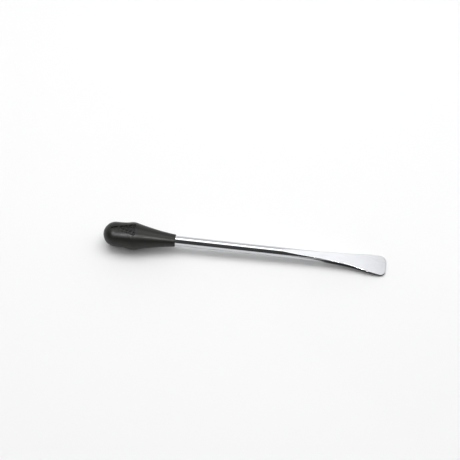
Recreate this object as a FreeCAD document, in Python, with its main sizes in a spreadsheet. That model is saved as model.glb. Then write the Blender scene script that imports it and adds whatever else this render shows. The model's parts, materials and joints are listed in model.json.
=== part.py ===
import FreeCAD, Part
import math
import os

import Sketcher

# Tyre lever: a forged bar with a spoon blade and a moulded ergonomic handle.
#
# Lever frame, used while the pieces are drawn: X runs along the shaft axis from the
# rear of the handle (0) to the blade tip, and Z points out of the blade's ground face.
# The finished lever is laid down on a flat surface, where it rests on the crest of the
# handle and on the lower edge of the tip. Its origin is then the bottom centre of its
# bounding box.

# alias, value in mm or degrees, what it is
DIMENSIONS = [
    ("overall_length", 380, "rear of the handle to the blade tip"),
    ("shaft_radius", 6.75, "round bar"),
    ("tang_end", 12, "hidden end of the bar"),
    ("tang_chamfer", 1.2, "chamfer on that end"),
    ("flat_rear", 18, "rear end of the two flats on the tang"),
    ("flat_front", 52, "front end of the flats"),
    ("flat_height", 5.25, "half of the distance across the flats"),
    ("dome_radius", 16.7, "spherical rear end of the handle"),
    ("barrel_station", 26.5, "rear part of the handle"),
    ("barrel_radius", 17.0, "its radius"),
    ("rise_station", 33, "start of the shoulder"),
    ("rise_radius", 17.65, "its radius"),
    ("crest_station", 39.6, "widest ring of the handle"),
    ("crest_radius", 18.7, "its radius"),
    ("flank_station", 46, "front of the shoulder"),
    ("flank_radius", 17.6, "its radius"),
    ("cone_station", 56, "concave cone, rear"),
    ("cone_radius", 15.1, "its radius"),
    ("waist_station", 67, "concave cone, middle"),
    ("waist_radius", 12.8, "its radius"),
    ("neck_station", 81, "concave cone, front"),
    ("neck_radius", 10.25, "its radius"),
    ("mouth_station", 97, "front face of the handle"),
    ("mouth_radius", 8.2, "its radius"),
    ("core_rear", 4.5, "rear face of the hard core"),
    ("core_front", 70, "front face of the hard core"),
    ("core_rear_radius", 8, "rear face radius"),
    ("core_body_radius", 12.9, "core under the barrel"),
    ("core_crest_radius", 14.8, "core under the crest"),
    ("core_front_radius", 9, "front face radius"),
    ("rib_rear", 22, "lengthwise keys on the core"),
    ("rib_front", 58, "front end of the keys"),
    ("rib_rear_radius", 14.4, "height of the keys at the rear"),
    ("rib_crest_radius", 16.2, "height of the keys at the crest"),
    ("rib_front_radius", 12.4, "height of the keys at the front"),
    ("rib_width", 3, "thickness of a key"),
    ("panel_rear", 9.8, "blunt rear end of a grip panel"),
    ("panel_rear_half_width", 1.2, "its half width"),
    ("panel_front", 43.2, "straight front edge of a panel"),
    ("panel_half_width", 9.6, "half of that edge"),
    ("panel_depth", 2.4, "pocket floor below the surface of the sleeve"),
    ("panel_recess", 0.3, "panel face below the surface of the sleeve"),
    ("blade_start", 290, "where the bar stops being round"),
    ("ground_start", 239, "rear end of the ground face"),
    ("ground_bend", 300, "where the ground face starts to curve down"),
    ("ground_height", 3.92, "height of the ground face there"),
    ("ground_slope", 2.66, "slope of the flat part of the ground face, degrees"),
    ("ground_radius", 440, "radius of the curved part"),
    ("belly_bend", 340, "where the underside starts to curve down"),
    ("belly_radius", 260, "radius of that curve"),
    ("tip_half_width", 14.8, "blade at the tip"),
    ("tip_corner", 8, "corner radius of the tip, seen from above"),
    ("clearance", 3, "how far cutting outlines reach past the metal"),
]

# Blank of the blade before grinding: name, station, half width, edge radius. A size
# that is given above stands here by its name.
BLADE_SECTIONS = [
    ("root", "blade_start", "shaft_radius", 6.6),
    ("throat", 301, 6.95, 5.6),
    ("waist", 314, 7.3, 4.0),
    ("flare", 328, 8.55, 3.0),
    ("spread", 340, 10.2, 2.4),
    ("spoon", 356, 13.1, 1.8),
    ("lip", 366, 14.2, 1.4),
    ("tip", "overall_length", "tip_half_width", 1.0),
]

# Turn of each grip panel about the shaft, degrees.
PANEL_TURNS = {"top": 0, "bottom": 180}


class Length:
    """A length in mm with the sheet expression that it comes from."""

    def __init__(self, value, text):
        self.value = float(value)
        self.text = text

    def __add__(self, other):
        return Length(self.value + other.value, f"{self.text} + {other.text}")

    def __sub__(self, other):
        return Length(self.value - other.value, f"{self.text} - ({other.text})")

    def __neg__(self):
        return Length(-self.value, f"-({self.text})")


ZERO = Length(0, "0")


def make_sheet(doc):
    """Fills the spreadsheet and returns a function that looks a length up in it."""
    sheet = doc.addObject("Spreadsheet::Sheet", "Sizes")
    rows = list(DIMENSIONS)
    for name, station, half_width, edge_radius in BLADE_SECTIONS:
        rows.append((f"{name}_section_station", station, f"blade blank, {name}"))
        rows.append((f"{name}_section_half_width", half_width, "its half width"))
        rows.append((f"{name}_section_edge", edge_radius, "its edge radius"))
    for row, (alias, value, note) in enumerate(rows, start=1):
        sheet.set(f"A{row}", f"={value}" if isinstance(value, str) else str(value))
        sheet.setAlias(f"A{row}", alias)
        sheet.set(f"B{row}", note)
    doc.recompute()
    return lambda alias: Length(sheet.get(alias), f"Sizes.{alias}")


def new_body(doc, label):
    body = doc.addObject("PartDesign::Body", label)
    body.Label = label
    return body


def origin_feature(body, role):
    return next(f for f in body.Origin.OriginFeatures if f.Role == role)


def new_sketch(body, name, plane, offset=ZERO):
    """A sketch parallel to one of the body's own origin planes."""
    sketch = body.newObject("Sketcher::SketchObject", name)
    sketch.AttachmentSupport = [(origin_feature(body, plane), "")]
    sketch.MapMode = "FlatFace"
    if offset is not ZERO:
        sketch.setExpression(".AttachmentOffset.Base.z", f"({offset.text}) * 1 mm")
    return sketch


def bind(sketch, constraint, length):
    """Adds a dimension to a sketch and ties it to the sheet."""
    index = sketch.addConstraint(constraint)
    sketch.setExpression(f"Constraints[{index}]", f"({length.text}) * 1 mm")


def tie_point(sketch, edge, end, along, up):
    """Ties both coordinates of an edge's end point to the sheet."""
    for kind, axis, length in (("DistanceX", -2, along), ("DistanceY", -1, up)):
        if abs(length.value) < 1e-6:
            sketch.addConstraint(Sketcher.Constraint("PointOnObject", edge, end, axis))
        elif length.value > 0:
            bind(sketch, Sketcher.Constraint(kind, -1, 1, edge, end, length.value), length)
        else:
            bind(sketch, Sketcher.Constraint(kind, edge, end, -1, 1, -length.value), -length)


def add_chain(sketch, edges, joint="Coincident"):
    """Adds edges given in order round a closed loop, and joins them end to end.

    Returns each edge's number with the numbers of its first and last points, because a
    sketch keeps every arc counter-clockwise.
    """
    chain = []
    for edge in edges:
        number = sketch.addGeometry(edge, False)
        kept = sketch.getPoint(number, 1).distanceToPoint(edge.StartPoint) < 1e-6
        chain.append((number, 1, 2) if kept else (number, 2, 1))
    for this, following in zip(chain, chain[1:] + chain[:1]):
        sketch.addConstraint(Sketcher.Constraint(joint, this[0], this[2], following[0], following[1]))
    return chain


def add_polygon(sketch, corners):
    """A closed outline of straight edges through corners given as pairs of lengths."""
    points = [FreeCAD.Vector(along.value, up.value, 0) for along, up in corners]
    following = points[1:] + points[:1]
    chain = add_chain(sketch, [Part.LineSegment(*pair) for pair in zip(points, following)])
    for (number, first, _), (along, up) in zip(chain, corners):
        tie_point(sketch, number, first, along, up)


def arc_through(start, middle, end):
    return Part.Arc(FreeCAD.Vector(*start, 0), FreeCAD.Vector(*middle, 0), FreeCAD.Vector(*end, 0))


def bent_height(height, slope, radius, run):
    """Height on an arc that starts with a downward slope in degrees and bends further down."""
    start_angle = math.radians(slope)
    end_sine = math.sin(start_angle) + run / radius
    return height - radius * (math.cos(start_angle) - math.sqrt(1 - end_sine ** 2))


def make_pad(body, sketch, length, reversed_way=False, midplane=False):
    pad = body.newObject("PartDesign::Pad", f"{sketch.Name}Pad")
    pad.Profile = sketch
    pad.Midplane = midplane
    pad.Reversed = reversed_way
    pad.setExpression("Length", f"({length.text}) * 1 mm")
    return pad


def make_through_cut(doc, body, sketch):
    """Cuts a sketch's outline right through a body, both ways, and proves that it cut."""
    doc.recompute()
    before = body.Shape.Volume
    pocket = body.newObject("PartDesign::Pocket", f"{sketch.Name}Cut")
    pocket.Profile = sketch
    pocket.Type = "ThroughAll"
    pocket.Midplane = True
    doc.recompute()
    if body.Shape.Volume > before - 1:
        raise RuntimeError(f"{sketch.Name} cut nothing")
    return pocket


def make_revolution(body, sketch):
    revolution = body.newObject("PartDesign::Revolution", f"{sketch.Name}Turn")
    revolution.Profile = sketch
    revolution.ReferenceAxis = (sketch, ["H_Axis"])
    revolution.Angle = 360
    return revolution


# ---------------------------------------------------------------- the forged bar

def belly_depth(size, station):
    """How far the underside lies below the axis: straight, then an arc down to the tip."""
    level = size("shaft_radius")
    if station.value <= size("belly_bend").value:
        return level
    radius, run = size("belly_radius"), station - size("belly_bend")
    drop = radius.value - math.sqrt(radius.value ** 2 - run.value ** 2)
    return level + Length(drop, f"{radius.text} - sqrt({radius.text}^2 - ({run.text})^2)")


def draw_blank_section(body, size, name):
    """One rounded rectangle of the blade blank, as high as the bar."""
    station = size(f"{name}_section_station")
    half_width = size(f"{name}_section_half_width")
    edge = size(f"{name}_section_edge")
    top = size("shaft_radius")
    depth = belly_depth(size, station)
    sketch = new_sketch(body, f"Section{name.title()}", "YZ_Plane", station)
    wide, high, radius = half_width.value, top.value, edge.value
    diagonal = radius * (1 - math.sqrt(0.5))
    arcs = []
    for side, rise in ((1, 1), (-1, 1), (-1, -1), (1, -1)):
        level = high if rise > 0 else -depth.value
        on_wall = (side * wide, level - rise * radius)
        middle = (side * (wide - diagonal), level - rise * diagonal)
        on_flat = (side * (wide - radius), level)
        ends = (on_wall, on_flat) if side == rise else (on_flat, on_wall)
        arcs.append(arc_through(ends[0], middle, ends[1]))
    edges = []
    for arc, following in zip(arcs, arcs[1:] + arcs[:1]):
        edges += [arc, Part.LineSegment(arc.EndPoint, following.StartPoint)]
    chain = add_chain(sketch, edges, joint="Tangent")
    rounds = [number for number, _, _ in chain[0::2]]
    for (line, _, _), kind in zip(chain[1::2], ("Horizontal", "Vertical") * 2):
        sketch.addConstraint(Sketcher.Constraint(kind, line))
    for other in rounds[1:]:
        sketch.addConstraint(Sketcher.Constraint("Equal", rounds[0], other))
    bind(sketch, Sketcher.Constraint("Radius", rounds[0], radius), edge)
    bind(sketch, Sketcher.Constraint("DistanceX", -1, 1, rounds[0], 1, wide), half_width)
    bind(sketch, Sketcher.Constraint("DistanceX", rounds[1], 2, -1, 1, wide), half_width)
    bind(sketch, Sketcher.Constraint("DistanceY", -1, 1, rounds[0], 2, high), top)
    bind(sketch, Sketcher.Constraint("DistanceY", rounds[2], 2, -1, 1, depth.value), depth)
    return sketch


def draw_ground_cut(body, size):
    """Side view of what grinding takes off: a slope that runs into an arc at the tip."""
    sketch = new_sketch(body, "GroundFace", "XZ_Plane")
    slope = size("ground_slope").value
    radius = size("ground_radius").value
    start = size("ground_start")
    bend = size("ground_bend")
    height = size("ground_height")
    past_tip = size("overall_length") + size("clearance")
    above = size("shaft_radius") + size("clearance")
    run = past_tip.value - bend.value

    def on_curve(distance):
        return (bend.value + distance, bent_height(height.value, slope, radius, distance))

    start_height = height.value + (bend.value - start.value) * math.tan(math.radians(slope))
    corners = [(start.value, start_height), on_curve(0), on_curve(run),
               (past_tip.value, above.value), (start.value, above.value)]
    points = [FreeCAD.Vector(*corner, 0) for corner in corners]
    chain = add_chain(sketch, [
        Part.LineSegment(points[0], points[1]),
        arc_through(on_curve(0), on_curve(run / 2), on_curve(run)),
        Part.LineSegment(points[2], points[3]),
        Part.LineSegment(points[3], points[4]),
        Part.LineSegment(points[4], points[0]),
    ])
    line, curve, front, roof, rear = (number for number, _, _ in chain)
    sketch.addConstraint(Sketcher.Constraint("Vertical", front))
    sketch.addConstraint(Sketcher.Constraint("Horizontal", roof))
    sketch.addConstraint(Sketcher.Constraint("Vertical", rear))
    tie_point(sketch, line, 2, bend, height)
    bind(sketch, Sketcher.Constraint("Radius", curve, radius), size("ground_radius"))
    bind(sketch, Sketcher.Constraint("DistanceX", -1, 1, line, 1, start.value), start)
    bind(sketch, Sketcher.Constraint("DistanceX", -1, 1, front, 1, past_tip.value), past_tip)
    bind(sketch, Sketcher.Constraint("DistanceY", -1, 1, roof, 1, above.value), above)
    return sketch


def draw_tip_corners(body, size):
    """Plan view of what rounds the two corners of the tip."""
    sketch = new_sketch(body, "TipCorners", "XY_Plane")
    tip, wide, corner = size("overall_length"), size("tip_half_width"), size("tip_corner")
    clear = size("clearance").value
    radius = corner.value
    diagonal = radius * (1 - math.sqrt(0.5))
    for side in (1, -1):
        outline = [
            (tip.value - radius, side * wide.value),
            (tip.value - radius, side * (wide.value + clear)),
            (tip.value + clear, side * (wide.value + clear)),
            (tip.value + clear, side * (wide.value - radius)),
            (tip.value, side * (wide.value - radius)),
        ]
        middle = (tip.value - diagonal, side * (wide.value - diagonal))
        points = [FreeCAD.Vector(*corner_point, 0) for corner_point in outline]
        edges = [Part.LineSegment(*pair) for pair in zip(points, points[1:])]
        chain = add_chain(sketch, edges + [arc_through(outline[-1], middle, outline[0])])
        across = wide if side > 0 else -wide
        inner = wide - corner if side > 0 else corner - wide
        arc, first, last = chain[-1]
        tie_point(sketch, arc, last, tip - corner, across)
        tie_point(sketch, arc, first, tip, inner)
        bind(sketch, Sketcher.Constraint("Radius", arc, radius), corner)
    return sketch


def draw_tang_flats(body, size):
    """Plan view of the two flats that stop the handle from turning on the bar."""
    sketch = new_sketch(body, "TangFlats", "XY_Plane")
    outer = size("shaft_radius") + size("clearance")
    rear, front, inner = size("flat_rear"), size("flat_front"), size("flat_height")
    add_polygon(sketch, [(rear, inner), (front, inner), (front, outer), (rear, outer)])
    add_polygon(sketch, [(rear, -inner), (front, -inner), (front, -outer), (rear, -outer)])
    return sketch


def add_end_chamfer(doc, body, size):
    """Chamfers the round edge at the hidden end of the bar."""
    doc.recompute()
    tip = body.Tip
    end_edges = [
        f"Edge{number}" for number, edge in enumerate(tip.Shape.Edges, start=1)
        if edge.BoundBox.XMax < size("tang_end").value + 0.01
    ]
    chamfer = body.newObject("PartDesign::Chamfer", "EndChamfer")
    chamfer.Base = (tip, end_edges)
    chamfer.setExpression("Size", f"{size('tang_chamfer').text} * 1 mm")


def make_bar(doc, size):
    """Tang, round shaft and blade, forged from one bar and ground on its top face."""
    body = new_body(doc, "lever_bar")
    ring = new_sketch(body, "ShaftRing", "YZ_Plane", size("tang_end"))
    radius = size("shaft_radius")
    circle = Part.Circle(FreeCAD.Vector(), FreeCAD.Vector(0, 0, 1), radius.value)
    number = ring.addGeometry(circle, False)
    ring.addConstraint(Sketcher.Constraint("Coincident", number, 3, -1, 1))
    bind(ring, Sketcher.Constraint("Radius", number, radius.value), radius)
    make_pad(body, ring, size("blade_start") - size("tang_end"))
    sections = [draw_blank_section(body, size, row[0]) for row in BLADE_SECTIONS]
    doc.recompute()
    blank = body.newObject("PartDesign::AdditiveLoft", "BladeBlank")
    blank.Profile = sections[0]
    blank.Sections = sections[1:]
    make_through_cut(doc, body, draw_ground_cut(body, size))
    make_through_cut(doc, body, draw_tip_corners(body, size))
    make_through_cut(doc, body, draw_tang_flats(body, size))
    add_end_chamfer(doc, body, size)
    return body


# ---------------------------------------------------------------- the handle

def handle_stations(size):
    names = ["barrel", "rise", "crest", "flank", "cone", "waist", "neck", "mouth"]
    return [(size(f"{name}_station"), size(f"{name}_radius")) for name in names]


def make_handle_solid(doc, size, label, depth=ZERO):
    """The outside of the handle, or a surface at a depth below it, as a turned solid."""
    body = new_body(doc, label)
    sketch = new_sketch(body, f"{label}Profile", "XZ_Plane")
    dome = size("dome_radius")
    sunk = depth.value
    side = dome.value - sunk
    slant = side * math.sqrt(0.5)
    points = [FreeCAD.Vector(dome.value, side, 0)]
    for station, radius in handle_stations(size):
        points.append(FreeCAD.Vector(station.value, radius.value - sunk, 0))
    flow = Part.BSplineCurve()
    flow.interpolate(points, InitialTangent=FreeCAD.Vector(1, 0, 0),
                     FinalTangent=FreeCAD.Vector(1, -0.115, 0))
    mouth = points[-1].x
    chain = add_chain(sketch, [
        arc_through((sunk, 0), (dome.value - slant, slant), (dome.value, side)),
        flow,
        Part.LineSegment(points[-1], FreeCAD.Vector(mouth, 0, 0)),
        Part.LineSegment(FreeCAD.Vector(mouth, 0, 0), FreeCAD.Vector(sunk, 0, 0)),
    ])
    arc, curve, face, axis = (number for number, _, _ in chain)
    bind(sketch, Sketcher.Constraint("Radius", arc, side), dome - depth)
    tie_point(sketch, curve, 1, dome, dome - depth)
    tie_point(sketch, curve, 2, size("mouth_station"), size("mouth_radius") - depth)
    tie_point(sketch, face, 2, size("mouth_station"), ZERO)
    tie_point(sketch, axis, 2, depth, ZERO)
    make_revolution(body, sketch)
    return body


def make_core_blank(doc, size):
    """The hard core: a turned body with four lengthwise keys under the soft sleeve."""
    body = new_body(doc, "CoreBlank")
    sketch = new_sketch(body, "CoreProfile", "XZ_Plane")
    add_polygon(sketch, [
        (size("core_rear"), ZERO),
        (size("core_rear"), size("core_rear_radius")),
        (size("dome_radius"), size("core_body_radius")),
        (size("barrel_station"), size("core_body_radius")),
        (size("crest_station"), size("core_crest_radius")),
        (size("core_front"), size("core_front_radius")),
        (size("core_front"), ZERO),
    ])
    make_revolution(body, sketch)
    key = new_sketch(body, "Key", "XZ_Plane")
    add_polygon(key, [
        (size("rib_rear"), ZERO),
        (size("rib_rear"), size("rib_rear_radius")),
        (size("crest_station"), size("rib_crest_radius")),
        (size("rib_front"), size("rib_front_radius")),
        (size("rib_front"), ZERO),
    ])
    doc.recompute()
    first_key = make_pad(body, key, size("rib_width"), midplane=True)
    doc.recompute()
    keys = body.newObject("PartDesign::PolarPattern", "Keys")
    keys.Originals = [first_key]
    keys.Axis = (origin_feature(body, "X_Axis"), [""])
    keys.Angle = 360
    keys.Occurrences = 4
    body.Tip = keys
    return body


def make_panel_prism(doc, size, side):
    """A prism with the plan outline of a grip panel, from the axis outwards."""
    body = new_body(doc, f"Prism{side.title()}")
    sketch = new_sketch(body, f"Outline{side.title()}", "XY_Plane")
    rear, front = size("panel_rear"), size("panel_front")
    narrow, wide = size("panel_rear_half_width"), size("panel_half_width")
    add_polygon(sketch, [(rear, -narrow), (rear, narrow), (front, wide), (front, -wide)])
    make_pad(body, sketch, size("crest_radius") + size("clearance"))
    return body


def boolean(doc, kind, label, base, tool):
    result = doc.addObject(f"Part::{kind}", label)
    result.Base = base
    result.Tool = tool
    result.Label = label
    return result


def fuse(doc, label, shapes):
    result = doc.addObject("Part::MultiFuse", label)
    result.Shapes = shapes
    return result


# ---------------------------------------------------------------- laying it down

def lowest_under(shape, turn):
    """Height of the lowest point of a shape that is turned about the Y axis."""
    turned = shape.copy()
    turned.Placement = FreeCAD.Placement(FreeCAD.Vector(), turn) * turned.Placement
    return turned.optimalBoundingBox(False, False).ZMin


def rest_placement(bar, handle_parts, size):
    """Lays the lever on the underside of its handle and the lower edge of its tip.

    The nose-down turn is corrected until both touch the same plane, and then the box of
    the finished lever is centred over the origin.
    """
    span = size("overall_length").value - size("crest_station").value
    degrees = 0.0
    for _ in range(6):
        turn = FreeCAD.Rotation(FreeCAD.Vector(0, 1, 0), degrees)
        handle_low = min(lowest_under(part.Shape, turn) for part in handle_parts)
        degrees += math.degrees(math.atan((lowest_under(bar.Shape, turn) - handle_low) / span))
    whole = Part.makeCompound([part.Shape.copy() for part in [bar] + handle_parts])
    whole.Placement = FreeCAD.Placement(FreeCAD.Vector(), turn)
    box = whole.optimalBoundingBox(False, False)
    shift = FreeCAD.Vector(-(box.XMin + box.XMax) / 2, 0, -box.ZMin)
    return FreeCAD.Placement(shift, turn)


def check(doc, nodes):
    """Stops if any object failed or any sub-part isn't one valid solid."""
    for item in doc.Objects:
        if {"Invalid", "Error"} & set(item.State):
            raise RuntimeError(f"{item.Name} failed: {item.State}")
    for node in nodes:
        shape = node.Shape
        if shape.isNull() or not shape.isValid() or len(shape.Solids) != 1:
            raise RuntimeError(f"{node.Label} is not one valid solid")


def turned_about_shaft(degrees):
    return FreeCAD.Placement(FreeCAD.Vector(), FreeCAD.Rotation(FreeCAD.Vector(1, 0, 0), degrees))


def main():
    doc = FreeCAD.newDocument("TyreLever")
    size = make_sheet(doc)

    bar = make_bar(doc, size)
    surface = make_handle_solid(doc, size, "HandleSurface")
    panel_face = make_handle_solid(doc, size, "PanelFace", size("panel_recess"))
    panel_floor = make_handle_solid(doc, size, "PanelFloor", size("panel_depth"))
    core_blank = make_core_blank(doc, size)
    prisms = {side: make_panel_prism(doc, size, side) for side in PANEL_TURNS}

    # Each turn about the shaft: the keys lie between the panels.
    turns = {bar: 0, surface: 0, panel_face: 0, panel_floor: 0, core_blank: 45}
    turns.update({prisms[side]: turn for side, turn in PANEL_TURNS.items()})
    for base, degrees in turns.items():
        base.Placement = turned_about_shaft(degrees)

    panel_shell = boolean(doc, "Cut", "PanelShell", panel_face, panel_floor)
    panels = [boolean(doc, "Common", f"grip_panel_{side}", prism, panel_shell)
              for side, prism in prisms.items()]
    pockets = [boolean(doc, "Cut", f"Pocket{side.title()}", prism, panel_floor)
               for side, prism in prisms.items()]
    core = boolean(doc, "Cut", "handle_core", core_blank, bar)
    inside = fuse(doc, "SleeveInside", [core_blank, bar] + pockets)
    sleeve = boolean(doc, "Cut", "grip_sleeve", surface, inside)
    nodes = [bar, core, sleeve] + panels
    doc.recompute()
    check(doc, nodes)

    rest = rest_placement(bar, [sleeve] + panels, size)
    for base, degrees in turns.items():
        base.Placement = rest * turned_about_shaft(degrees)
    doc.recompute()
    check(doc, nodes)

    os.makedirs("parts", exist_ok=True)
    for node in nodes:
        node.Shape.exportStep(f"parts/{node.Label}.step")
        box = node.Shape.optimalBoundingBox(False, False)
        print(f"{node.Label}: {node.Shape.Volume:.0f} mm3, "
              f"x {box.XMin:.2f} {box.XMax:.2f}, y {box.YMin:.2f} {box.YMax:.2f}, "
              f"z {box.ZMin:.3f} {box.ZMax:.2f}")


main()
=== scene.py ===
import json
import math

import bmesh
import bpy
from mathutils import Matrix, Vector


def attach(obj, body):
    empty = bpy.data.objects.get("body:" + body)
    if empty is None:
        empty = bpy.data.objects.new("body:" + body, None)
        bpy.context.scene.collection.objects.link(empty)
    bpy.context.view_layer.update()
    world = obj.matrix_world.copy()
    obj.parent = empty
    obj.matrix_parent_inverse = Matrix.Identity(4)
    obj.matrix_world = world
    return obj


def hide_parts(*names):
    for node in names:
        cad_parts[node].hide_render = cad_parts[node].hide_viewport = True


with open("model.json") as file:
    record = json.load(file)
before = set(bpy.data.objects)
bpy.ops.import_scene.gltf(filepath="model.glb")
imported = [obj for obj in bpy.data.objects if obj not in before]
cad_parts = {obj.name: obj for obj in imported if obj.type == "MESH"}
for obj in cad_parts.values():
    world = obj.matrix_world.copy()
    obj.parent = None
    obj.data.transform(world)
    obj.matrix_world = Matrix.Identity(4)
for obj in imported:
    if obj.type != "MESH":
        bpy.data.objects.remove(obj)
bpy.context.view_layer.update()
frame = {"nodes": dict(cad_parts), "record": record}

# Lever frame: X along the shaft axis from the rear of the handle, Z out of the blade's
# ground face. Every length is in metres.
MM = 0.001
LENGTH = 380 * MM
SHAFT_RADIUS = 6.75 * MM
TANG_END = 12 * MM
TANG_CHAMFER = 1.2 * MM
TANG_FLATS = (18 * MM, 52 * MM)
TANG_FLAT_HEIGHT = 5.25 * MM
HOLD_STATION = 110 * MM

# Blade: station, half width, edge radius of the forged blank.
BLADE_SECTIONS = [
    (290 * MM, 6.75 * MM, 6.75 * MM),
    (301 * MM, 6.95 * MM, 5.6 * MM),
    (314 * MM, 7.3 * MM, 4.0 * MM),
    (328 * MM, 8.55 * MM, 3.0 * MM),
    (340 * MM, 10.2 * MM, 2.4 * MM),
    (356 * MM, 13.1 * MM, 1.8 * MM),
    (366 * MM, 14.2 * MM, 1.4 * MM),
    (380 * MM, 14.8 * MM, 1.0 * MM),
]
GROUND_START = 239 * MM
GROUND_BEND = 300 * MM
GROUND_HEIGHT = 3.92 * MM
GROUND_SLOPE = math.radians(2.66)
GROUND_RADIUS = 440 * MM
BELLY_BEND = 340 * MM
BELLY_RADIUS = 260 * MM
TIP_CORNER = 8 * MM
EDGE_BREAK = 0.35 * MM

# Handle outline: station, radius.
DOME_RADIUS = 16.7 * MM
MOUTH = 97 * MM
MOUTH_SLOPE = -0.115
HANDLE_OUTLINE = [
    (DOME_RADIUS, DOME_RADIUS),
    (26.5 * MM, 17.0 * MM),
    (33 * MM, 17.65 * MM),
    (39.6 * MM, 18.7 * MM),
    (46 * MM, 17.6 * MM),
    (56 * MM, 15.1 * MM),
    (67 * MM, 12.8 * MM),
    (81 * MM, 10.25 * MM),
    (MOUTH, 8.2 * MM),
]
# Core outline, from its front to its rear: station, radius.
CORE_OUTLINE = [
    (70 * MM, 9.0 * MM),
    (39.6 * MM, 14.8 * MM),
    (26.5 * MM, 12.9 * MM),
    (16.7 * MM, 12.9 * MM),
    (4.5 * MM, 8.0 * MM),
]
# Edge of the mouth, gap round the shaft, break of the bore's edge, gap round the core.
LIP_RADIUS = 0.7 * MM
BORE_GAP = 0.03 * MM
BORE_CHAMFER = 0.25 * MM
CORE_GAP = 0.05 * MM

# Chequered panels: where they start and end, their half widths there, the radius of the
# front corners, the depth of the pocket, and how far each is turned about the shaft.
PANEL_REAR = 9.8 * MM
PANEL_REAR_HALF_WIDTH = 1.2 * MM
PANEL_FRONT = 43.2 * MM
PANEL_HALF_WIDTH = 9.6 * MM
PANEL_CORNER = 2.5 * MM
PANEL_DEPTH = 2.4 * MM
PANEL_TURNS = {"top": 0, "bottom": 180}


def lever_frame():
    """Matrix from the lever frame to the world, from the place where the shaft is held."""
    hold = next(m for m in frame["record"]["mounts"] if m["name"] == "shaft_hold")
    along = Vector(hold["axis"]).normalized()
    across = Vector((0, 1, 0))
    up = along.cross(across)
    origin = Vector(hold["pos_m"]) - along * HOLD_STATION
    matrix = Matrix((along, across, up)).transposed().to_4x4()
    matrix.translation = origin
    return matrix


LEVER = lever_frame()


# ---------------------------------------------------------------- helpers

SPLINE_SWEEPS = 200
WELD = 1e-7


def spline(points, column=1, start_slope=0.0, end_slope=0.0):
    """A smooth cubic curve through rows of numbers: a function of the first column."""
    xs = [row[0] for row in points]
    ys = [row[column] for row in points]
    spans = [b - a for a, b in zip(xs, xs[1:])]
    rises = [(b - a) / span for a, b, span in zip(ys, ys[1:], spans)]
    slopes = [start_slope] + rises[1:] + [end_slope]
    for _ in range(SPLINE_SWEEPS):
        for i in range(1, len(spans)):
            left, right = spans[i - 1], spans[i]
            pull = 3 * (rises[i - 1] * right + rises[i] * left)
            slopes[i] = (pull - slopes[i - 1] * right - slopes[i + 1] * left) / (2 * (left + right))

    def value(x):
        x = min(max(x, xs[0]), xs[-1])
        i = max(k for k in range(len(spans)) if x >= xs[k])
        part = (x - xs[i]) / spans[i]
        rest = 1 - part
        return (
            ys[i] * (1 + 2 * part) * rest ** 2
            + slopes[i] * spans[i] * part * rest ** 2
            + ys[i + 1] * (3 - 2 * part) * part ** 2
            - slopes[i + 1] * spans[i] * rest * part ** 2
        )

    return value


def steps(start, end, count):
    """Evenly spaced values from start up to but not including end."""
    return [start + (end - start) * index / count for index in range(count)]


def quarter_turn(count):
    """Evenly spaced angles over a quarter turn, with both ends."""
    return steps(0, math.pi / 2, count) + [math.pi / 2]


def new_piece(name, mesh, materials, node, smooth_angle):
    """Puts a mesh drawn in the lever frame into the world, in place of a CAD node."""
    mesh.transform(LEVER)
    for material in materials:
        mesh.materials.append(material)
    mesh.polygons.foreach_set("use_smooth", [True] * len(mesh.polygons))
    mesh.set_sharp_from_angle(angle=smooth_angle)
    piece = bpy.data.objects.new(name, mesh)
    bpy.context.scene.collection.objects.link(piece)
    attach(piece, "root")
    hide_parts(node)
    return piece


def add_rings(bm, rings, keep=None):
    """Joins rings of equally many points with quads and returns them row by row.

    keep(row, column) says whether a quad is made.
    """
    rows = [[bm.verts.new(point) for point in ring] for ring in rings]
    count = len(rows[0])
    faces = []
    for row in range(len(rows) - 1):
        made = []
        for column in range(count):
            if keep is None or keep(row, column):
                following = (column + 1) % count
                made.append((column, bm.faces.new((
                    rows[row][column], rows[row][following],
                    rows[row + 1][following], rows[row + 1][column]))))
        faces.append(made)
    return rows, faces


def finish_mesh(bm, name):
    """Welds the drawing, turns its faces outwards and makes a mesh of it."""
    bmesh.ops.remove_doubles(bm, verts=bm.verts, dist=WELD)
    bmesh.ops.dissolve_degenerate(bm, edges=bm.edges, dist=WELD)
    bmesh.ops.recalc_face_normals(bm, faces=bm.faces)
    mesh = bpy.data.meshes.new(name)
    bm.to_mesh(mesh)
    bm.free()
    return mesh


# ---------------------------------------------------------------- the forged bar

# Points round half a section: on the ground face, round its broken edge, down the side.
FACE_COLUMNS = 12
BREAK_COLUMNS = 3
SIDE_COLUMNS = 84
# Sections along the shaft, along the start of the ground face, along the blade and round
# the corners of the tip.
SHAFT_RINGS = 28
OPENING_RINGS = 44
BLADE_RINGS = 84
CORNER_RINGS = 20
FLAT_RUNOUT = 0.01 * MM
SHAFT_RUN_START = TANG_FLATS[1] + 8 * MM
# Widest the broken edge may be, as a share of half the ground face's width.
BREAK_SHARE = 0.3

blade_half_width = spline(BLADE_SECTIONS, 1)
blade_edge_radius = spline(BLADE_SECTIONS, 2)


def bent_height(height, slope, radius, run):
    """Height on an arc that starts with a downward slope and bends further down."""
    end_sine = math.sin(slope) + run / radius
    return height - radius * (math.cos(slope) - math.sqrt(1 - end_sine ** 2))


def ground_height(station):
    if station <= GROUND_START:
        return SHAFT_RADIUS
    if station <= GROUND_BEND:
        height = GROUND_HEIGHT + (GROUND_BEND - station) * math.tan(GROUND_SLOPE)
        return min(height, SHAFT_RADIUS)
    return bent_height(GROUND_HEIGHT, GROUND_SLOPE, GROUND_RADIUS, station - GROUND_BEND)


def belly_height(station):
    return bent_height(-SHAFT_RADIUS, 0, BELLY_RADIUS, max(0, station - BELLY_BEND))


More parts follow.
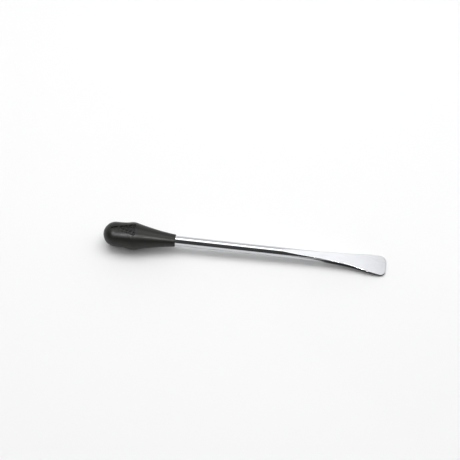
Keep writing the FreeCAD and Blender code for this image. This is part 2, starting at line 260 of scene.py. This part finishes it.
def side_outline(half_width, edge, top, bottom, ground):
    """Dense points from the ground face's edge, down one side, to the middle underneath."""
    points = []
    arc_steps = 24
    top_centre = top - edge
    if ground > top_centre:
        start_angle = math.asin(min(1, (ground - top_centre) / edge))
        for angle in steps(start_angle, 0, arc_steps):
            points.append((half_width - edge + edge * math.cos(angle),
                           top_centre + edge * math.sin(angle)))
    else:
        points.append((half_width, ground))
    for angle in steps(0, math.pi / 2, arc_steps):
        points.append((half_width - edge + edge * math.cos(angle),
                       bottom + edge - edge * math.sin(angle)))
    points.append((half_width - edge, bottom))
    points.append((0, bottom))
    return points


def point_along(points, distance):
    """The point at a distance along a chain of points."""
    for (x0, y0), (x1, y1) in zip(points, points[1:]):
        span = math.hypot(x1 - x0, y1 - y0)
        if distance <= span and span > 0:
            part = distance / span
            return (x0 + (x1 - x0) * part, y0 + (y1 - y0) * part)
        distance -= span
    return points[-1]


def chain_length(points):
    return sum(math.dist(a, b) for a, b in zip(points, points[1:]))


def bar_section(station, inset=0.0):
    """Cross-section points: middle of the ground face, round one side, and back."""
    half_width = blade_half_width(station)
    corner = station - (LENGTH - TIP_CORNER)
    if corner > 0:
        tip_width = BLADE_SECTIONS[-1][1] - TIP_CORNER
        tip_width += math.sqrt(max(0, TIP_CORNER ** 2 - corner ** 2))
        half_width = min(half_width, tip_width)
    half_width -= inset
    ground = ground_height(station) - inset
    bottom = belly_height(station) + inset
    edge = max(blade_edge_radius(station) - inset, EDGE_BREAK)
    outline = side_outline(half_width, edge, SHAFT_RADIUS, bottom, ground)
    edge_point = outline[0]
    trim = min(EDGE_BREAK, edge_point[0] * BREAK_SHARE)
    half = [(edge_point[0] - trim, ground)]
    target = point_along(outline, trim)
    for part in steps(0, 1, BREAK_COLUMNS)[1:]:
        blend = (1 - part) ** 2, 2 * part * (1 - part), part ** 2
        half.append(tuple(blend[0] * a + blend[1] * b + blend[2] * c
                          for a, b, c in zip(half[0], edge_point, target)))
    length = chain_length(outline)
    for distance in steps(trim, length, SIDE_COLUMNS):
        half.append(point_along(outline, distance))
    face = [(half[0][0] * part, ground) for part in steps(0, 1, FACE_COLUMNS)]
    right = face + half
    left = [(-y, z) for y, z in reversed(right[1:])]
    return [(station, y, z) for y, z in right + [(0, bottom)] + left]


def tang_section(station, radius, flat_height=None):
    """A round section of the bar with as many points as any other."""
    ring = bar_section(GROUND_START)
    limit = flat_height or radius
    scale = radius / SHAFT_RADIUS
    return [(station, min(max(y * scale, -limit), limit), z * scale) for _, y, z in ring]


def make_bar(materials):
    """Tang, shaft and blade as one surface whose rings follow every section."""
    rings = [
        tang_section(TANG_END, SHAFT_RADIUS - TANG_CHAMFER),
        tang_section(TANG_END + TANG_CHAMFER, SHAFT_RADIUS),
        tang_section(TANG_FLATS[0], SHAFT_RADIUS),
        tang_section(TANG_FLATS[0] + FLAT_RUNOUT, SHAFT_RADIUS, TANG_FLAT_HEIGHT),
        tang_section(TANG_FLATS[1] - FLAT_RUNOUT, SHAFT_RADIUS, TANG_FLAT_HEIGHT),
        tang_section(TANG_FLATS[1], SHAFT_RADIUS),
    ]
    for station in steps(SHAFT_RUN_START, GROUND_START, SHAFT_RINGS):
        rings.append(tang_section(station, SHAFT_RADIUS))
    round_rings = len(rings)
    blade_start = BLADE_SECTIONS[0][0]
    for part in steps(0, 1, OPENING_RINGS):
        rings.append(bar_section(GROUND_START + (blade_start - GROUND_START) * part ** 2))
    corner_start = LENGTH - TIP_CORNER
    for station in steps(blade_start, corner_start, BLADE_RINGS):
        rings.append(bar_section(station))
    reach = TIP_CORNER - EDGE_BREAK
    last_angle = math.asin(reach / TIP_CORNER)
    for angle in steps(0, last_angle, CORNER_RINGS):
        rings.append(bar_section(corner_start + TIP_CORNER * math.sin(angle)))
    for angle in quarter_turn(4):
        rings.append(bar_section(LENGTH - EDGE_BREAK + EDGE_BREAK * math.sin(angle),
                                 EDGE_BREAK * (1 - math.cos(angle))))
    bm = bmesh.new()
    count = len(rings[0])
    ground_columns = set(range(FACE_COLUMNS)) | set(range(count - FACE_COLUMNS, count))
    top_columns = set(range(FACE_COLUMNS + BREAK_COLUMNS))
    top_columns |= set(range(count - FACE_COLUMNS - BREAK_COLUMNS, count))
    rows, faces = add_rings(
        bm, rings, lambda row, column: row >= round_rings or column not in top_columns)
    for row, made in enumerate(faces):
        for column, face in made:
            if column in ground_columns and row >= round_rings:
                face.material_index = 1
    bm.faces.new(rows[0])
    bm.faces.new(reversed(rows[-1]))
    mesh = finish_mesh(bm, "lever_bar_surface")
    bar = new_piece("lever_bar_forging", mesh, materials, "lever_bar", math.radians(50))
    shading = bar.modifiers.new("even_shading", "WEIGHTED_NORMAL")
    shading.keep_sharp = True
    return bar


# ---------------------------------------------------------------- the handle

outline_radius = spline(HANDLE_OUTLINE, 1, 0.0, MOUTH_SLOPE)
# Rounded lip of a pocket: distance inside the panel's outline, depth below the surface.
LIP_STEPS = [(0.0, 0.0), (0.12 * MM, 0.02 * MM), (0.22 * MM, 0.09 * MM), (0.29 * MM, 0.22 * MM),
             (0.32 * MM, 0.5 * MM), (0.34 * MM, 2.4 * MM)]
POCKET_WALL = LIP_STEPS[-1][0]
# Points across a pocket and between two pockets, and rings over the dome and the body.
POCKET_COLUMNS = 20
GAP_COLUMNS = 52
DOME_RINGS = 40
BODY_RINGS = 100
RING_GAP = 0.25 * MM


def handle_radius(station):
    if station < DOME_RADIUS:
        return math.sqrt(max(0, DOME_RADIUS ** 2 - (DOME_RADIUS - station) ** 2))
    return outline_radius(station)


def panel_half_width(station):
    """Half width of a panel's outline, seen square on, with rounded front corners."""
    part = (station - PANEL_REAR) / (PANEL_FRONT - PANEL_REAR)
    width = PANEL_REAR_HALF_WIDTH + (PANEL_HALF_WIDTH - PANEL_REAR_HALF_WIDTH) * part
    past_corner = station - (PANEL_FRONT - PANEL_CORNER)
    if past_corner > 0:
        rounded = math.sqrt(max(0, PANEL_CORNER ** 2 - past_corner ** 2))
        width = min(width, PANEL_HALF_WIDTH - PANEL_CORNER + rounded)
    return width


def lip_depth(distance):
    """How far the sleeve's surface drops at a distance inside a panel's outline."""
    if distance <= 0:
        return 0.0
    for (d0, h0), (d1, h1) in zip(LIP_STEPS, LIP_STEPS[1:]):
        if distance <= d1:
            return h0 + (h1 - h0) * (distance - d0) / (d1 - d0)
    return LIP_STEPS[-1][1]


def sleeve_ring(station, radius, row_depth=0.0):
    """One ring of the sleeve, whose columns follow the outlines of the two panels."""
    held = min(max(station, PANEL_REAR), PANEL_FRONT)
    width = panel_half_width(held)
    around = handle_radius(held)
    inner = width - POCKET_WALL
    offsets = [(-(width - distance), depth) for distance, depth in LIP_STEPS]
    offsets += [(inner * part, LIP_STEPS[-1][1]) for part in steps(-1, 1, POCKET_COLUMNS)[1:]]
    offsets += [(width - distance, depth) for distance, depth in reversed(LIP_STEPS)]
    gap_start = math.asin(width / around)
    ring = []
    for turn in (0, math.pi):
        for across, depth in offsets:
            ring.append((math.asin(across / around) + turn, min(depth, row_depth)))
        for angle in steps(gap_start, math.pi - gap_start, GAP_COLUMNS)[1:]:
            ring.append((angle + turn, 0.0))
    return [(station, (radius - depth) * math.sin(angle), (radius - depth) * math.cos(angle))
            for angle, depth in ring]


def outer_rows():
    """Stations of the sleeve's outer surface, each with its depth in the pockets."""
    plain = [DOME_RADIUS * (1 - math.cos(angle))
             for angle in steps(0, math.pi / 2, DOME_RINGS)[1:]]
    plain += steps(DOME_RADIUS, MOUTH - LIP_RADIUS, BODY_RINGS)
    special = [(PANEL_REAR + distance, depth) for distance, depth in LIP_STEPS]
    special += [(PANEL_FRONT - distance, depth) for distance, depth in LIP_STEPS]
    rows = list(special)
    for station in plain:
        if min(abs(station - other) for other, _ in special) > RING_GAP:
            inside = min(station - PANEL_REAR, PANEL_FRONT - station)
            rows.append((station, lip_depth(inside)))
    return sorted(rows)


def make_sleeve(material):
    """The soft outer moulding: a closed shell round the core, with two pockets."""
    rings = [sleeve_ring(station, handle_radius(station), depth)
             for station, depth in outer_rows()]
    edge = handle_radius(MOUTH)
    for angle in quarter_turn(6):
        rings.append(sleeve_ring(MOUTH - LIP_RADIUS + LIP_RADIUS * math.sin(angle),
                                 edge - LIP_RADIUS * (1 - math.cos(angle))))
    bore = SHAFT_RADIUS + BORE_GAP
    rings.append(sleeve_ring(MOUTH, bore + BORE_CHAMFER))
    rings.append(sleeve_ring(MOUTH - BORE_CHAMFER, bore))
    rings.append(sleeve_ring(CORE_OUTLINE[0][0], bore))
    for station, radius in CORE_OUTLINE:
        rings.append(sleeve_ring(station, radius + CORE_GAP))
    bm = bmesh.new()
    rows, _ = add_rings(bm, rings)
    for row, station in ((rows[0], 0.0), (rows[-1], CORE_OUTLINE[-1][0] - CORE_GAP)):
        pole = bm.verts.new((station, 0, 0))
        for this, following in zip(row, row[1:] + row[:1]):
            bm.faces.new((this, following, pole))
    mesh = finish_mesh(bm, "grip_sleeve_surface")
    return new_piece("grip_sleeve_moulding", mesh, [material], "grip_sleeve",
                     math.radians(40))


# Chequering: pitch of its rows, their turn from the lever's axis, and how far its grooves
# and its tops lie below the sleeve's surface.
CHEQUER_PITCH = 5.6 * MM
CHEQUER_TURN = math.radians(15)
CHEQUER_VALLEY = 1.95 * MM
CHEQUER_TOP = 0.32 * MM
# Height of the chequering across one cell: groove, rounded flank, flat top, flank.
CHEQUER_PROFILE = [(0.0, 0.0), (0.13, 0.0), (0.17, 0.08), (0.27, 0.88), (0.31, 0.98), (0.36, 1.0),
                   (0.64, 1.0), (0.69, 0.98), (0.73, 0.88), (0.83, 0.08), (0.87, 0.0)]
# Gap between a panel and its pocket, all round and below.
PANEL_GAP = 0.1 * MM


def chequer_lines():
    """Grid lines across the chequering with how high each stands, 0 to 1."""
    cells = math.ceil((PANEL_FRONT - PANEL_REAR) / CHEQUER_PITCH)
    return [((cell + part) * CHEQUER_PITCH, height)
            for cell in range(-cells, cells + 1) for part, height in CHEQUER_PROFILE]


def panel_outline():
    """Corner points of a panel seen square on, a little inside its pocket."""
    inside = POCKET_WALL + PANEL_GAP
    stations = [PANEL_REAR + inside]
    turn_start = PANEL_FRONT - PANEL_CORNER
    for angle in steps(0, math.pi / 2, 6):
        stations.append(turn_start + (PANEL_CORNER - inside) * math.sin(angle))
    stations.append(PANEL_FRONT - inside)
    right = [(station, panel_half_width(station) - inside) for station in stations]
    return right + [(station, -width) for station, width in reversed(right)]


def make_panel(side, degrees, material):
    """A chequered insert: pyramids with flat tops, cut to the outline and wrapped round.

    The rows of pyramids run along one long side of the panel.
    """
    bm = bmesh.new()
    lines = chequer_lines()
    rise = CHEQUER_VALLEY - CHEQUER_TOP
    cos_turn, sin_turn = math.cos(CHEQUER_TURN), math.sin(CHEQUER_TURN)
    grid = [[bm.verts.new((PANEL_FRONT - CHEQUER_PITCH / 2 + along * cos_turn + across * sin_turn,
                           across * cos_turn - along * sin_turn,
                           min(tall, wide) * rise - CHEQUER_VALLEY)) for across, wide in lines]
            for along, tall in lines]
    for row, above in zip(grid, grid[1:]):
        for index in range(len(row) - 1):
            bm.faces.new((row[index], row[index + 1], above[index + 1], above[index]))
    outline = panel_outline()
    for start, end in zip(outline, outline[1:] + outline[:1]):
        if math.dist(start, end) < 1e-6:
            continue
        normal = Vector((-(end[1] - start[1]), end[0] - start[0], 0)).normalized()
        geometry = list(bm.verts) + list(bm.edges) + list(bm.faces)
        bmesh.ops.bisect_plane(bm, geom=geometry, dist=WELD, plane_co=(start[0], start[1], 0),
                               plane_no=normal, clear_outer=True)
    rim = [edge for edge in bm.edges if edge.is_boundary]
    walls = bmesh.ops.extrude_edge_only(bm, edges=rim)["geom"]
    floor = [item for item in walls if isinstance(item, bmesh.types.BMVert)]
    for vert in floor:
        vert.co.z = -(PANEL_DEPTH - PANEL_GAP)
    base = [item for item in walls if isinstance(item, bmesh.types.BMEdge)]
    base_faces = bmesh.ops.edgeloop_fill(bm, edges=base)["faces"]
    bmesh.ops.triangulate(bm, faces=base_faces)
    turn = math.radians(degrees)
    for vert in bm.verts:
        x, y, height = vert.co
        surface = handle_radius(x)
        angle = math.asin(max(-1, min(1, y / surface)))
        radius = surface + height
        local = Vector((x, radius * math.sin(angle), radius * math.cos(angle)))
        vert.co = Matrix.Rotation(turn, 3, "X") @ local
    node = f"grip_panel_{side}"
    mesh = finish_mesh(bm, f"{node}_surface")
    return new_piece(f"chequered_panel_{side}", mesh, [material], node, math.radians(25))


# ---------------------------------------------------------------- materials

def new_material(name, base, roughness, metallic=0.0, **extra):
    """A material with plain values on its shader. Returns both."""
    material = bpy.data.materials.new(name)
    material.use_nodes = True
    shader = material.node_tree.nodes["Principled BSDF"]
    shader.inputs["Base Color"].default_value = (*base, 1)
    shader.inputs["Roughness"].default_value = roughness
    shader.inputs["Metallic"].default_value = metallic
    for label, value in extra.items():
        shader.inputs[label.replace("_", " ")].default_value = value
    return material, shader


def add_node(owner, kind, links=None, **values):
    """Adds a node to a material or the world.

    links are {input: output socket}, values are inputs or properties.
    """
    node = owner.node_tree.nodes.new(kind)
    for key, value in values.items():
        label = key.replace("_", " ")
        if label in node.inputs:
            node.inputs[label].default_value = value
        else:
            setattr(node, key, value)
    for label, socket in (links or {}).items():
        owner.node_tree.links.new(socket, node.inputs[label])
    return node


def lever_coordinates(material, scale):
    """Object coordinates in the lever frame, stretched by scale along X, Y and Z."""
    coordinates = add_node(material, "ShaderNodeTexCoord")
    mapping = add_node(material, "ShaderNodeMapping", {"Vector": coordinates.outputs["Object"]})
    tilt = LEVER.to_euler()
    mapping.inputs["Rotation"].default_value = (-tilt.x, -tilt.y, -tilt.z)
    mapping.inputs["Scale"].default_value = scale
    return mapping.outputs["Vector"]


def noise(material, scale, size, detail, roughness=0.5):
    """Noise in the lever frame; size is its scale after the stretch."""
    vector = lever_coordinates(material, scale)
    node = add_node(material, "ShaderNodeTexNoise", {"Vector": vector},
                    Scale=size, Detail=detail, Roughness=roughness)
    return node.outputs["Fac"]


def to_range(material, socket, low, high):
    """Spreads noise, most of which lies between 0.3 and 0.7, from low to high."""
    node = add_node(material, "ShaderNodeMapRange", {"Value": socket},
                    From_Min=0.3, From_Max=0.7, To_Min=low, To_Max=high)
    return node.outputs["Result"]


def vary_roughness(material, shader, socket, low, high):
    """Lets the roughness vary between two values."""
    rough = to_range(material, socket, low, high)
    material.node_tree.links.new(rough, shader.inputs["Roughness"])


def vary_tone(material, shader, factor, dark, light):
    """Lets the base colour vary between two tones."""
    tone = add_node(material, "ShaderNodeMix", {"Factor": factor}, data_type="RGBA")
    for node_input, colour in zip((s for s in tone.inputs if s.type == "RGBA"), (dark, light)):
        node_input.default_value = (*colour, 1)
    result = next(s for s in tone.outputs if s.type == "RGBA")
    material.node_tree.links.new(result, shader.inputs["Base Color"])


def join_bumps(material, shader, bumps):
    """Stacks bumps, each (height socket, strength, distance)."""
    normal = None
    for height, strength, distance in bumps:
        links = {"Height": height}
        if normal is not None:
            links["Normal"] = normal
        node = add_node(material, "ShaderNodeBump", links, Strength=strength, Distance=distance)
        normal = node.outputs["Normal"]
    material.node_tree.links.new(normal, shader.inputs["Normal"])


def chrome_material():
    """Mirror-bright plating with faint polishing lines and handling haze."""
    material, shader = new_material("bright_chrome", (0.61, 0.62, 0.635), 0.05, 1.0)
    haze = noise(material, (1, 1, 1), size=55, detail=5)
    lines = noise(material, (60, 900, 900), size=2, detail=3)
    vary_roughness(material, shader, haze, 0.035, 0.1)
    join_bumps(material, shader, [(lines, 0.02, 0.01 * MM)])
    return material


def ground_material():
    """The ground face of the blade: fine lines along the lever and a satin sheen."""
    material, shader = new_material("ground_steel", (0.52, 0.527, 0.542), 0.36, 1.0)
    lines = noise(material, (40, 2600, 400), size=1, detail=6, roughness=0.65)
    patches = noise(material, (1, 2, 2), size=160, detail=4)
    vary_roughness(material, shader, patches, 0.35, 0.4)
    streaks = to_range(material, lines, 0, 1)
    vary_tone(material, shader, streaks, (0.42, 0.427, 0.44), (0.575, 0.582, 0.597))
    join_bumps(material, shader, [(lines, 0.5, 0.05 * MM)])
    return material


def rubber_material(name, base, specular, low_rough, high_rough, grain):
    """Black moulding rubber: uneven sheen, fine grain and dusty variation of tone."""
    material, shader = new_material(name, base, 0.5, 0.0, Specular_IOR_Level=specular)
    cloud = noise(material, (1, 1, 1), size=45, detail=5)
    fine = noise(material, (1, 1, 1), size=grain, detail=3, roughness=0.6)
    marks = noise(material, (0.6, 1, 1), size=420, detail=4, roughness=0.65)
    vary_roughness(material, shader, marks, low_rough, high_rough)
    dark, light = ([value * share for value in base] for share in (0.8, 1.25))
    vary_tone(material, shader, cloud, dark, light)
    join_bumps(material, shader, [(marks, 0.16, 0.1 * MM), (fine, 0.5, 0.09 * MM)])
    return material


def core_material():
    """Plain dark polymer of the core, which the sleeve hides."""
    material, shader = new_material("core_polymer", (0.02, 0.02, 0.022), 0.45)
    fine = noise(material, (1, 1, 1), size=1500, detail=3)
    vary_roughness(material, shader, fine, 0.4, 0.55)
    join_bumps(material, shader, [(fine, 0.15, 0.05 * MM)])
    return material


# ---------------------------------------------------------------- the object

chrome = chrome_material()
ground = ground_material()
sleeve_rubber = rubber_material("sleeve_rubber", (0.0085, 0.0095, 0.0068), 0.3, 0.3, 0.46, 2200)
# The panels' rubber has a darker base colour than the sleeve's: painted shade for the chequered
# pockets.
panel_rubber_with_painted_shade = rubber_material("panel_rubber_with_painted_shade", (0.0055, 0.0062, 0.0045), 0.3, 0.36, 0.5, 3000)
core_polymer = core_material()

make_bar([chrome, ground])
make_sleeve(sleeve_rubber)
for side, degrees in PANEL_TURNS.items():
    make_panel(side, degrees, panel_rubber_with_painted_shade)
core = frame["nodes"]["handle_core"]
core.data.materials.clear()
core.data.materials.append(core_polymer)


# ---------------------------------------------------------------- camera, floor and light

CAMERA_AZIMUTH = math.radians(6.5)
CAMERA_ELEVATION = math.radians(58)
CAMERA_DISTANCE = 2.6
# Width of what the picture takes in at the lever.
FRAME_WIDTH = 614.6 * MM
SENSOR = 36
# The point that the camera looks at, from the middle of the lever: left and up on screen.
AIM_LEFT = 19.4 * MM
AIM_UP = 24.4 * MM


def camera_directions():
    """The directions from the lever to the camera, to the right and up on screen."""
    sin_a, cos_a = math.sin(CAMERA_AZIMUTH), math.cos(CAMERA_AZIMUTH)
    sin_e, cos_e = math.sin(CAMERA_ELEVATION), math.cos(CAMERA_ELEVATION)
    back = Vector((sin_a * cos_e, -cos_a * cos_e, sin_e))
    right = Vector((cos_a, sin_a, 0))
    return back, right, back.cross(right)


def add_camera():
    back, right, up = camera_directions()
    middle = LEVER @ Vector((LENGTH / 2, 0, 0))
    aim = middle - right * AIM_LEFT + up * AIM_UP
    data = bpy.data.cameras.new("photo_camera")
    data.sensor_width = SENSOR
    data.lens = SENSOR * CAMERA_DISTANCE / FRAME_WIDTH
    data.clip_end = 50
    camera = bpy.data.objects.new("photo_camera", data)
    matrix = Matrix((right, up, back)).transposed().to_4x4()
    matrix.translation = aim + back * CAMERA_DISTANCE
    camera.matrix_world = matrix
    bpy.context.scene.collection.objects.link(camera)
    bpy.context.scene.camera = camera


def add_plane(name, centre, normal, width, height, material):
    """A flat rectangle on the stage, facing along normal."""
    mesh = bpy.data.meshes.new(name)
    corners = [(-width / 2, -height / 2, 0), (width / 2, -height / 2, 0),
               (width / 2, height / 2, 0), (-width / 2, height / 2, 0)]
    mesh.from_pydata(corners, [], [(0, 1, 2, 3)])
    mesh.materials.append(material)
    plane = bpy.data.objects.new(name, mesh)
    plane.rotation_euler = Vector(normal).to_track_quat("Z", "Y").to_euler()
    plane.location = centre
    bpy.context.scene.collection.objects.link(plane)
    return plane


def add_softbox(name, place, target, width, height, power):
    data = bpy.data.lights.new(name, "AREA")
    data.shape = "RECTANGLE"
    data.size = width
    data.size_y = height
    data.energy = power
    light = bpy.data.objects.new(name, data)
    light.location = place
    direction = Vector(target) - Vector(place)
    light.rotation_euler = direction.to_track_quat("-Z", "Y").to_euler()
    bpy.context.scene.collection.objects.link(light)
    return light


# The studio round the lever: degrees from the camera's side (0) over the top (90) to the
# far side (180), and how bright it is there.
STUDIO_BANDS = [(0, 0.9), (5, 0.6), (9, 0.06), (84, 0.06), (88, 1.0), (122, 1.0), (130, 0.72),
                (152, 0.72), (165, 1.0)]
STUDIO_BLUE = 1.01


def add_world():
    """Light from all round, as bands that run along the lever."""
    world = bpy.data.worlds.new("studio")
    bpy.context.scene.world = world
    world.use_nodes = True
    coordinates = add_node(world, "ShaderNodeTexCoord")
    parts = add_node(world, "ShaderNodeSeparateXYZ", {"Vector": coordinates.outputs["Generated"]})
    flip = add_node(world, "ShaderNodeMath", {0: parts.outputs["Y"]}, operation="MULTIPLY")
    flip.inputs[1].default_value = -1
    angle = add_node(world, "ShaderNodeMath", {0: parts.outputs["Z"], 1: flip.outputs["Value"]},
                     operation="ARCTAN2")
    share = add_node(world, "ShaderNodeMath", {0: angle.outputs["Value"]}, operation="DIVIDE")
    share.inputs[1].default_value = math.pi
    ramp = add_node(world, "ShaderNodeValToRGB", {"Fac": share.outputs["Value"]})
    stops = ramp.color_ramp.elements
    while len(stops) < len(STUDIO_BANDS):
        stops.new(0.5)
    for stop, (degrees, level) in zip(stops, STUDIO_BANDS):
        stop.position = degrees / 180
        stop.color = (level, level, level * STUDIO_BLUE, 1)
    background = world.node_tree.nodes["Background"]
    world.node_tree.links.new(ramp.outputs["Color"], background.inputs["Color"])
    background.inputs["Strength"].default_value = 1.0


# Softboxes: place, what it points at, width, height, power. Seen from the camera, the two
# small ones make the highlight along the handle and a glint on the blade's near edge, and
# the shaft mirrors neither.
SOFTBOXES = {
    "overhead": ((0, 0.62, 1.7), (0, 0.62, 0), 2.4, 1.1, 15),
    "grip_light": ((-0.57, -0.61, 1.15), (-0.14, 0, 0), 0.74, 0.16, 15.5),
    "cone_light": ((0.33, -0.61, 1.15), (-0.14, 0, 0), 0.26, 0.16, 8.5),
    "fill": ((0, 0, 2.2), (0, 0, 0), 2.4, 2.4, 20),
}
# Dark card on the floor that only reflections see: it darkens the near side of the blade.
CARD_CENTRE = (396 * MM, -94 * MM)
CARD_SIZE = (260 * MM, 200 * MM)
CARD_TURN = math.radians(-35)
CARD_HEIGHT = 0.1 * MM
FLOOR_SIZE = 12
FLOOR_DROP = 0.02 * MM


def add_card():
    cloth, _ = new_material("card_cloth", (0.02, 0.02, 0.02), 0.9)
    card = add_plane("blade_flag", LEVER @ Vector((*CARD_CENTRE, 0)), (0, 0, 1), *CARD_SIZE, cloth)
    card.location.z = CARD_HEIGHT
    card.rotation_euler.z = CARD_TURN
    card.visible_camera = False
    card.visible_diffuse = False
    card.visible_shadow = False


def add_stage():
    """A pale floor, the dark card, the studio all round and the softboxes."""
    floor_paint, _ = new_material("floor_paint", (0.85, 0.85, 0.85), 0.9)
    add_plane("floor", (0, 0, -FLOOR_DROP), (0, 0, 1), FLOOR_SIZE, FLOOR_SIZE, floor_paint)
    add_card()
    add_world()
    lights = {name: add_softbox(name, *row) for name, row in SOFTBOXES.items()}
    lights["grip_light"].visible_diffuse = False
    lights["cone_light"].visible_diffuse = False
    lights["fill"].visible_glossy = False
    lights["fill"].data.use_shadow = False
    bpy.context.scene.view_settings.view_transform = "Standard"


add_camera()
add_stage()
